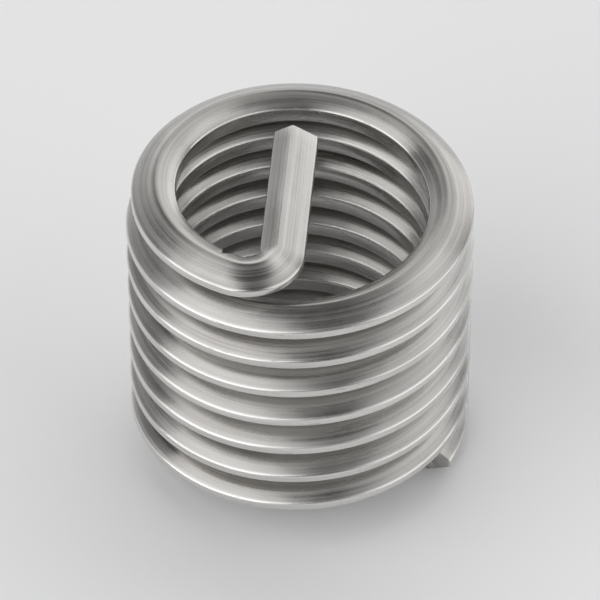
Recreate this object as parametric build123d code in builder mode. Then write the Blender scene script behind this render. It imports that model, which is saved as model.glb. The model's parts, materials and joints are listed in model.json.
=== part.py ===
from build123d import *

import os
from math import atan2, cos, degrees, radians, sin, tan

# A free helical thread insert for an M8 x 1.25 thread, 1.5 diameters long: a coil of diamond-section wire
# that stands on its plain cut end, with the driving tang across the bore at the top. Millimetres.

os.makedirs("parts", exist_ok=True)

# the thread it carries, and the wire rolled for that thread
thread_pitch = 1.25
flank_angle = 30  # each flank from the radial direction, so 60 degrees between flanks
wire_width = 0.875 * thread_pitch  # along the axis, side edge to side edge
outer_flat = 0.19 * thread_pitch  # the crest that seats in the hole
inner_flat = 0.36 * thread_pitch  # the crest that meets the screw

# the free coil, before it is wound down into its hole
outer_radius = 5.05
free_pitch = 1.16
even_quarters = 28  # full-size coil
entering_quarters = 3  # the coil that enters the hole first, drawn in a little
entering_draw = 0.22  # how much smaller its radius ends up

# the tang: the wire's end, bent in across the bore
tang_root_angle = 242  # where the bend leaves the coil, anticlockwise from +X seen from above
tang_direction = 85.5  # where the tang points, measured the same way
bend_inner_radius = 0.35
tang_length = 5.0  # straight part, bend to cut end

# the notch where the tang breaks off
notch_depth = 0.3
notch_half_width = 0.2
notch_back = 7  # degrees of coil before the bend

flank_slope = tan(radians(flank_angle))
outer_height = (wire_width - outer_flat) / 2 / flank_slope  # side edges to the outer crest
inner_height = (wire_width - inner_flat) / 2 / flank_slope
edge_radius = outer_radius - outer_height  # the side edges, where the wire is widest
crest_radius = edge_radius - inner_height  # the bore through the crests
quarter_rise = free_pitch / 4
even_rise = even_quarters * quarter_rise
entering_rise = entering_quarters * quarter_rise
entering_turn = 90 * entering_quarters
draw_angle = degrees(atan2(entering_draw, entering_rise))
entering_bore = crest_radius - entering_draw  # where the bend begins
start_angle = tang_root_angle - 90 * even_quarters - entering_turn
bend_turn = (tang_direction - tang_root_angle - 90) % 360
trim = 0.1  # how far a swept wire passes each crest before it is turned to size
far = 30  # reach of a trimming tool


def wire_section(spare):
    """The diamond in the X-Z plane, its crests spare too tall."""
    inner, outer = crest_radius - spare, outer_radius + spare
    inner_half, outer_half = inner_flat / 2 - flank_slope * spare, outer_flat / 2 - flank_slope * spare
    with BuildSketch(Plane.XZ) as section:
        with BuildLine():
            Polyline(
                (inner, inner_half), (edge_radius, wire_width / 2), (outer, outer_half),
                (outer, -outer_half), (edge_radius, -wire_width / 2), (inner, -inner_half),
                close=True,
            )
        make_face()
    return section.sketch


def top_cut(part):
    """The highest flat end of a stretch of wire."""
    return part.faces().filter_by(GeomType.PLANE).sort_by(Axis.Z)[-1]


def polar(radius, angle, height=0.0):
    return (radius * cos(radians(angle)), radius * sin(radians(angle)), height)


# one quarter turn of the full-size coil, with true cylinders for crests
with BuildPart() as quarter:
    with BuildLine():
        quarter_path = Helix(free_pitch, quarter_rise, edge_radius)
    sweep(wire_section(trim), path=quarter_path, is_frenet=True, clean=False)
    with BuildSketch(Plane.XY.offset(-far / 2)):
        Circle(outer_radius)
        Circle(crest_radius, mode=Mode.SUBTRACT)
    extrude(amount=far, mode=Mode.INTERSECT)

# the entering coil spirals in, turns the bend and ends in the straight tang
with BuildPart() as entering:
    with BuildLine():
        entering_path = Helix(
            free_pitch / cos(radians(draw_angle)), entering_rise, edge_radius, cone_angle=-draw_angle
        )
    sweep(wire_section(0), path=entering_path, is_frenet=True, clean=False)

    bend_centre = polar(entering_bore - bend_inner_radius, entering_turn)
    revolve(top_cut(entering.part), axis=Axis(bend_centre, (0, 0, 1)), revolution_arc=bend_turn, clean=False)
    extrude(top_cut(entering.part), amount=tang_length, clean=False)

    notch_angle = entering_turn - notch_back
    with BuildSketch(Plane.XY.offset(entering_rise - wire_width / 2)):
        with Locations(Location(polar(entering_bore, notch_angle), (0, 0, notch_angle))):
            Polygon(
                (-notch_depth, -2 * notch_half_width), (notch_depth, 0), (-notch_depth, 2 * notch_half_width),
                align=None,
            )
    extrude(amount=wire_width, mode=Mode.SUBTRACT, clean=False)

# the whole insert, standing on the side edge of its first coil
with BuildPart() as coil:
    for i in range(even_quarters):
        with Locations(Location((0, 0, wire_width / 2 + i * quarter_rise), (0, 0, start_angle + 90 * i))):
            add(quarter.part, clean=False)
    with Locations(Location((0, 0, wire_width / 2 + even_rise), (0, 0, tang_root_angle - entering_turn))):
        add(entering.part, clean=False)
coil.part.label = "coil"
export_step(coil.part, "parts/coil.step")
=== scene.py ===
import json
from math import cos, pi, radians, sin, tan

import bmesh
import bpy
from mathutils import Matrix, Vector


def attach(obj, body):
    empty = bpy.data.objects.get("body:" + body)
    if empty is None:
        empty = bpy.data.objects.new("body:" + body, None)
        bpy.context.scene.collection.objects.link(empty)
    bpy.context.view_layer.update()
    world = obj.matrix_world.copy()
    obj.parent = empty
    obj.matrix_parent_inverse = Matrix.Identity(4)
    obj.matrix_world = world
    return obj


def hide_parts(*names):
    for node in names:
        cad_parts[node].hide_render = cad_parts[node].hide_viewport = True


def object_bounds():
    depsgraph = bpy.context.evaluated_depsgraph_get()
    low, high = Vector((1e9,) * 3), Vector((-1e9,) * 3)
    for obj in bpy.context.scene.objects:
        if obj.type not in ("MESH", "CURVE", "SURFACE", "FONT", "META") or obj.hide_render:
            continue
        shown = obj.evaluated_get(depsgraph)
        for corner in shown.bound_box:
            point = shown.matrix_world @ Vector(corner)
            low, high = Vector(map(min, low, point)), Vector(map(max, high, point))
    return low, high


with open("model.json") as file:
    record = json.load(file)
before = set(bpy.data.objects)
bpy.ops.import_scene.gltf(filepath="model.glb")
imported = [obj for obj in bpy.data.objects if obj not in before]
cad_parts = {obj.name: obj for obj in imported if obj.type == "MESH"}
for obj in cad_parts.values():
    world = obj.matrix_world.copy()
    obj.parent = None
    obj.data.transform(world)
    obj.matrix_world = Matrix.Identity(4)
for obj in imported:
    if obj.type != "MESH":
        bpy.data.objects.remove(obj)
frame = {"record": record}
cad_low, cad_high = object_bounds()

# The looks of a free helical thread insert: rolled stainless wire, wound as a coil, with its end bent in
# as a tang. Lengths are in metres, and angles in radians.

MM = 0.001

# the coil and its wire, from the frame and from the thread that the wire is rolled for
mounts = {mount["name"]: mount for mount in frame["record"]["mounts"]}
outer_radius = cad_high.x
bore_radius = mounts["screw_thread"]["dims"]["r_mm"] * MM
thread_pitch = 1.25 * MM
wire_width = 0.875 * thread_pitch
outer_flat = 0.19 * thread_pitch
flank_slope = tan(radians(30))
outer_height = (wire_width - outer_flat) / 2 / flank_slope  # from the side edges to the outer crest
inner_height = outer_radius - bore_radius - outer_height
edge_radius = outer_radius - outer_height  # the side edges, where the wire is widest
even_turns = 7
entering_turns = 0.75
free_pitch = (cad_high.z - cad_low.z - wire_width) / (even_turns + entering_turns)

# the entering coil, the bend and the tang
entering_draw = 0.22 * MM
tang_root_angle = radians(242)
tang_direction = radians(85.5)
bend_inner_radius = 0.35 * MM
bend_swelling = 0.05  # how much the bend thickens the wire inside and thins it outside
tang_length = 5.0 * MM

# the notch where the tang breaks off
notch_depth = 0.3 * MM
notch_half_width = 0.2 * MM
notch_back = radians(7)

# how finely the wire is drawn
coarse_step = 2 * pi / 96
fine_step = radians(0.5)
fine_stretch = radians(14)  # of the entering coil, up to the bend
bend_steps = 36
tang_steps = 10
edge_round = 0.05 * MM  # where each rounding starts, from the sharp edge
burr_round = 0.03 * MM
rounding_steps = 3
crisp_edge = radians(25)  # edges sharper than this stay crisp
large_face_weight = 100  # the most there is: large faces set the shading of the roundings between them


# ---------------------------------------------------------------- the wire


def half_width(out):
    """Half the wire's width, roundings apart, at a distance out from its side edges."""
    return wire_width / 2 - flank_slope * abs(out)


def outward(angle, distance, height=0.0):
    return Vector((cos(angle) * distance, sin(angle) * distance, height))


def turned(angle, about=Vector()):
    return Matrix.Translation(about) @ Matrix.Rotation(angle, 4, "Z") @ Matrix.Translation(-about)


class Wire:
    """Wire that grows from its front end. Each point keeps its place in the wire as it was while straight:
    how far along, how far out from the side edges and how far up."""

    def __init__(self, centre):
        self.mesh = bmesh.new()
        self.straight = self.mesh.verts.layers.float_vector.new("straight")
        self.cut = self.mesh.faces.layers.float.new("cut")
        self.length = 0.0
        top = [(out, half_width(out)) for out in (-inner_height, 0, outer_height)]
        bottom = [(out, -up) for out, up in reversed(top)]
        corners = [self.mesh.verts.new((out, 0, up)) for out, up in top + bottom]
        self.mesh.faces.new(corners)
        bmesh.ops.bevel(
            self.mesh, geom=corners, offset=edge_round,
            segments=rounding_steps, profile=0.5, affect="VERTICES", material=-1,
        )
        for point in self.mesh.verts:
            point[self.straight] = (0, point.co.x, point.co.z)
        bmesh.ops.translate(self.mesh, verts=self.mesh.verts[:], vec=centre)
        (self.plain_end,) = self.mesh.faces
        self.front = self.mesh.edges[:]

    def grow(self, move, length):
        """Draws the front end on through a move that adds this much to the wire's length."""
        grown = bmesh.ops.extrude_edge_only(self.mesh, edges=self.front)["geom"]
        ring = [item for item in grown if isinstance(item, bmesh.types.BMVert)]
        self.front = [item for item in grown if isinstance(item, bmesh.types.BMEdge)]
        bmesh.ops.transform(self.mesh, matrix=move, verts=ring)
        self.length += length
        for point in ring:
            point[self.straight].x = self.length

    def close(self):
        """Caps the front end, eases the rims of both ends and marks their faces as cut."""
        tip = bmesh.ops.contextual_create(self.mesh, geom=self.front)["faces"][0]
        bmesh.ops.bevel(
            self.mesh, geom=list(tip.edges) + list(self.plain_end.edges), offset=burr_round,
            segments=rounding_steps, profile=0.5, affect="EDGES", material=-1,
        )
        for face in self.mesh.faces:
            face[self.cut] = len(face.verts) > 4  # all other faces are quads
        bmesh.ops.recalc_face_normals(self.mesh, faces=self.mesh.faces[:])


def wind():
    """The whole insert, from its plain end to the tip of its tang."""
    wire = Wire((edge_radius, 0, wire_width / 2))
    entering_start = tang_root_angle - 2 * pi * entering_turns
    bmesh.ops.transform(
        wire.mesh, matrix=turned(entering_start - 2 * pi * even_turns), verts=wire.mesh.verts[:]
    )

    for _ in range(round(2 * pi * even_turns / coarse_step)):
        rise = Matrix.Translation((0, 0, free_pitch * coarse_step / (2 * pi)))
        wire.grow(rise @ turned(coarse_step), coarse_step * edge_radius)

    angle = entering_start
    while angle < tang_root_angle - fine_step / 2:
        step = coarse_step if angle < tang_root_angle - fine_stretch - coarse_step else fine_step
        angle += step
        draw_in = entering_draw * step / (2 * pi * entering_turns)
        wire.grow(
            Matrix.Translation(outward(angle, -draw_in, free_pitch * step / (2 * pi))) @ turned(step),
            step * edge_radius,
        )
    bend_start = wire.length

    root = outward(angle, bore_radius - entering_draw - bend_inner_radius)
    bend_turn = (tang_direction - angle - pi / 2) % (2 * pi)
    bend_length = bend_turn * (bend_inner_radius + inner_height)
    for _ in range(bend_steps):
        wire.grow(turned(bend_turn / bend_steps, root), bend_length / bend_steps)

    for _ in range(tang_steps):
        wire.grow(
            Matrix.Translation(outward(tang_direction, tang_length / tang_steps)), tang_length / tang_steps
        )

    swell_bend(wire, bend_start, bend_length)
    cut_notch(wire, bend_start - notch_back * edge_radius)
    wire.close()
    return wire


def swell_bend(wire, start, length):
    """Bending squeezes the wire thicker on the inside of the bend and stretches it thinner on the outside."""
    for point in wire.mesh.verts:
        along, out, up = point[wire.straight]
        share = (along - start) / length
        if 0 < share < 1:
            point.co.z -= up * out / inner_height * bend_swelling * sin(pi * share)


def cut_notch(wire, middle_of_notch):
    """A V across the inside of the entering coil, just before the bend."""
    half_length = notch_half_width * edge_radius / (bore_radius - entering_draw)
    for point in wire.mesh.verts:
        along, out, up = point[wire.straight]
        floor_of_notch = notch_depth * (1 - abs(along - middle_of_notch) / half_length) - inner_height
        if out < floor_of_notch:
            point.co += Vector((point.co.x, point.co.y, 0)).normalized() * (floor_of_notch - out)
            point.co.z += up * (half_width(floor_of_notch) / half_width(out) - 1)


def finished_piece(wire, name, material):
    mesh = bpy.data.meshes.new(name)
    wire.mesh.to_mesh(mesh)
    wire.mesh.free()
    mesh.materials.append(material)
    mesh.shade_smooth()
    mesh.set_sharp_from_angle(angle=crisp_edge)
    piece = bpy.data.objects.new(name, mesh)
    bpy.context.scene.collection.objects.link(piece)
    even_shading = piece.modifiers.new("even_shading", "WEIGHTED_NORMAL")
    even_shading.weight = large_face_weight
    even_shading.keep_sharp = True
    return piece


# ---------------------------------------------------------------- the finish


class Value:
    """A shader socket that takes part in Python expressions."""

    def __init__(self, nodes, socket):
        self.nodes = nodes
        self.socket = socket

    def maths(self, operation, *values):
        return self.nodes.add("ShaderNodeMath", {"operation": operation}, *values)

    def __add__(self, other):
        return self.maths("ADD", self, other)

    def __radd__(self, other):
        return self.maths("ADD", other, self)

    def __sub__(self, other):
        return self.maths("SUBTRACT", self, other)

    def __rsub__(self, other):
        return self.maths("SUBTRACT", other, self)

    def __mul__(self, other):
        return self.maths("MULTIPLY", self, other)

    def __rmul__(self, other):
        return self.maths("MULTIPLY", other, self)

    def __abs__(self):
        return self.maths("ABSOLUTE", self)

    def rising(self, low, high):
        """0 below low, 1 above high, and smooth between."""
        return self.nodes.add(
            "ShaderNodeMapRange", {"interpolation_type": "SMOOTHSTEP"}, self, low, high, 0.0, 1.0
        )


class Nodes:
    """The nodes of a material or of the world, and the one shader that they end in."""

    def __init__(self, owner, shader):
        owner.use_nodes = True
        self.owner = owner
        self.tree = owner.node_tree
        self.shader = self.tree.nodes[shader]

    def add(self, kind, settings=None, *values, output=0, **named):
        """Adds a node; values go to its sockets in order, named ones to the sockets of that name."""
        made = self.tree.nodes.new(kind)
        for setting, value in (settings or {}).items():
            if setting == "stops":
                for stop, (position, colour) in zip(made.color_ramp.elements, value):
                    stop.position, stop.color = position, colour
            else:
                setattr(made, setting, value)
        for place, value in list(enumerate(values)) + list(named.items()):
            self.feed(made.inputs[place], value)
        return Value(self, made.outputs[output])

    def feed(self, socket, value):
        if isinstance(value, Value):
            self.tree.links.new(value.socket, socket)
        else:
            socket.default_value = value

    def end_in(self, **sockets):
        for name, value in sockets.items():
            self.feed(self.shader.inputs[name.replace("_", " ")], value)


# the steel, as its colour where dull and where bright
dull_steel = (0.22, 0.207, 0.190, 1)
bright_steel = (0.70, 0.692, 0.673, 1)

# from 0, dull_steel, to 1, bright_steel: plain wire, and what each mark adds to it
plain_brightness = 0.48
# the crest share is a painted highlight, and the groove share is painted shade between the coils; the other
# marks are the steel's own tone
brightness_shares = {
    "polished_crest_with_painted_highlight": 0.50, "dull_groove_with_painted_shade": -0.18, "nicked": -0.25, "rolled": 0.9, "lined": 0.5, "filmed": 0.6
}

# the same for roughness
plain_roughness = 0.28
roughness_shares = {
    "polished_crest_with_painted_highlight": -0.05, "dull_groove_with_painted_shade": 0.08, "nicked": 0.15, "cut": 0.16, "rolled": 0.25, "lined": 0.2, "filmed": 0.3
}

# the same for height, in relief depths
relief_depth = 0.004 * MM
relief_shares = {"uneven": 6.0, "rolled": 0.8, "lined": 0.35, "hairs": 0.15, "nicked": -0.8}
torn_relief = 5.0

# where a mark starts and where it is full
crest_mark = (0.08, 0.01)  # millimetres short of the crests
groove_mark = (0.20, 0.03)  # millimetres short of the side edges
nick_mark = (0.16, 0.24)  # strengths of its noise
groove_end = 3  # millimetres of wire before the bend, along which the grooves' painted shade and dullness fade out

# how many times finer each grain is than a millimetre: along the wire, out and up
bands = (0.08, 5.0, 5.0)  # left by the rolls
lines = (0.12, 16.0, 16.0)
hairs = (0.45, 34.0, 34.0)
unevenness = (0.5, 0.7, 0.7)
film = (0.35, 0.8, 0.8)  # of dried oil
handling = (2.2, 9.0, 9.0)  # small nicks on the crests
shearing = (1.0, 5.0, 22.0)  # on the cut ends


def noise(nodes, place, grain, detail=2.0, roughness=0.5):
    """Noise stretched to a grain, as a value about 0."""
    stretched = nodes.add("ShaderNodeVectorMath", {"operation": "MULTIPLY"}, place, grain)
    return nodes.add(
        "ShaderNodeTexNoise", {}, Vector=stretched, Scale=1.0, Detail=detail, Roughness=roughness
    ) - 0.5


def marked(plain, shares, marks):
    """The plain value, and each mark's share added to it."""
    total = plain
    for name, share in shares.items():
        total = total + share * marks[name]
    return total


def rolled_stainless():
    """Rolled wire: bands and fine lines along it, polished crests lightened in colour as a painted highlight,
    dull grooves darkened in colour as painted shade between the coils, nicks and sheared ends.
    """
    nodes = Nodes(bpy.data.materials.new("rolled_stainless_wire"), "Principled BSDF")
    straight = nodes.add("ShaderNodeAttribute", {"attribute_name": "straight"}, output="Vector")
    cut = nodes.add("ShaderNodeAttribute", {"attribute_name": "cut"}, output="Fac")
    place = nodes.add("ShaderNodeVectorMath", {"operation": "SCALE"}, straight, Scale=1 / MM)
    along, out, up = (nodes.add("ShaderNodeSeparateXYZ", {}, place, output=axis) for axis in "XYZ")

    half_height = (outer_height + inner_height) / 2 / MM
    from_middle = abs(out - (outer_height / MM - half_height))
    # the crests: polished, so smoother, and lighter in colour as a painted highlight; the nicks sit on them
    # too
    polished_crest_with_painted_highlight = from_middle.rising(*(half_height - short for short in crest_mark))
    coil_end = 2 * pi * (even_turns + entering_turns) * edge_radius / MM
    between_coils = 1 - along.rising(coil_end - groove_end, coil_end)
    # the side edges, where each coil lies against the next: rougher, and darker in colour as painted shade
    # between the coils, fading out before the bend where no coil lies alongside
    dull_groove_with_painted_shade = abs(up).rising(*(wire_width / 2 / MM - short for short in groove_mark)) * between_coils

    marks = {
        "polished_crest_with_painted_highlight": polished_crest_with_painted_highlight,
        "dull_groove_with_painted_shade": dull_groove_with_painted_shade,
        "cut": cut,
        "nicked": noise(nodes, place, handling).rising(*nick_mark) * polished_crest_with_painted_highlight,
        "rolled": noise(nodes, place, bands),
        "lined": noise(nodes, place, lines),
        "hairs": noise(nodes, place, hairs),
        "uneven": noise(nodes, place, unevenness),
        "filmed": noise(nodes, place, film, detail=4.0),
    }
    colour = nodes.add(
        "ShaderNodeMix", {"data_type": "RGBA", "clamp_factor": True},
        Factor=marked(plain_brightness, brightness_shares, marks), A=dull_steel, B=bright_steel,
        output="Result",
    )
    rough = marked(plain_roughness, roughness_shares, marks)
    torn = noise(nodes, place, shearing, detail=5.0, roughness=0.6)
    relief = marked(0.0, relief_shares, marks) * (1 - cut) + torn_relief * torn * cut
    normal = nodes.add("ShaderNodeBump", {}, Strength=1.0, Distance=relief_depth, Height=relief)
    nodes.end_in(Base_Color=colour, Metallic=1.0, Roughness=rough, Normal=normal)
    return nodes.owner


coil = finished_piece(wind(), "wound_wire", rolled_stainless())
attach(coil, "root")
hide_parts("coil")


# ---------------------------------------------------------------- the stage

middle = (cad_low + cad_high) / 2  # where the lamps and the camera look
floor_reach = 0.4
floor_colour = (0.86, 0.86, 0.86, 1)
floor_roughness = 0.9
wall_colour = (0.72, 0.72, 0.73, 1)
ceiling_colour = (0.08, 0.08, 0.085, 1)
ceiling_starts = 0.7  # from 0, level, to 1, straight up
lamp_distance = 0.30
camera_lens = 300
nearest_seen = 0.005


def towards(azimuth, elevation):
    """The way from the insert to a lamp or camera. Azimuth 0 is in front, and a quarter turn on its right."""
    return Vector((sin(azimuth) * cos(elevation), -cos(azimuth) * cos(elevation), sin(elevation)))


def place_facing(name, data, azimuth, elevation, distance):
    """Puts a lamp or camera at that distance, looking at the middle of the insert."""
    back = towards(azimuth, elevation)
    thing = bpy.data.objects.new(name, data)
    thing.location = middle + back * distance
    thing.rotation_euler = back.to_track_quat("Z", "Y").to_euler()
    bpy.context.scene.collection.objects.link(thing)
    return thing


def softbox(name, azimuth, elevation, size, power):
    lamp = bpy.data.lights.new(name, "AREA")
    lamp.size = size
    lamp.energy = power
    place_facing(name, lamp, azimuth, elevation, lamp_distance)


def floor():
    nodes = Nodes(bpy.data.materials.new("pale_floor"), "Principled BSDF")
    nodes.end_in(Base_Color=floor_colour, Roughness=floor_roughness)
    plane = bmesh.new()
    bmesh.ops.create_grid(plane, size=floor_reach)
    mesh = bpy.data.meshes.new("floor")
    plane.to_mesh(mesh)
    plane.free()
    mesh.materials.append(nodes.owner)
    ground = bpy.data.objects.new("floor", mesh)
    bpy.context.scene.collection.objects.link(ground)


def room():
    """Pale walls below a dark ceiling."""
    nodes = Nodes(bpy.data.worlds.new("room"), "Background")
    direction = nodes.add("ShaderNodeTexCoord", output="Generated")
    height = nodes.add("ShaderNodeSeparateXYZ", {}, direction, output="Z")
    stops = [(0.0, wall_colour), (ceiling_starts, ceiling_colour)]
    walls = nodes.add("ShaderNodeValToRGB", {"stops": stops}, height)
    nodes.end_in(Color=walls, Strength=1.0)
    bpy.context.scene.world = nodes.owner


floor()
room()
softbox("key", azimuth=radians(-56), elevation=radians(34), size=0.42, power=0.76)
softbox("fill", azimuth=radians(75), elevation=radians(30), size=0.36, power=0.36)
softbox("back", azimuth=radians(168), elevation=radians(40), size=0.48, power=0.70)

camera = bpy.data.cameras.new("camera")
camera.lens = camera_lens
camera.clip_start = nearest_seen
bpy.context.scene.camera = place_facing(
    "camera", camera, azimuth=0.0, elevation=radians(44), distance=0.147
)
bpy.context.scene.view_settings.view_transform = "Standard"
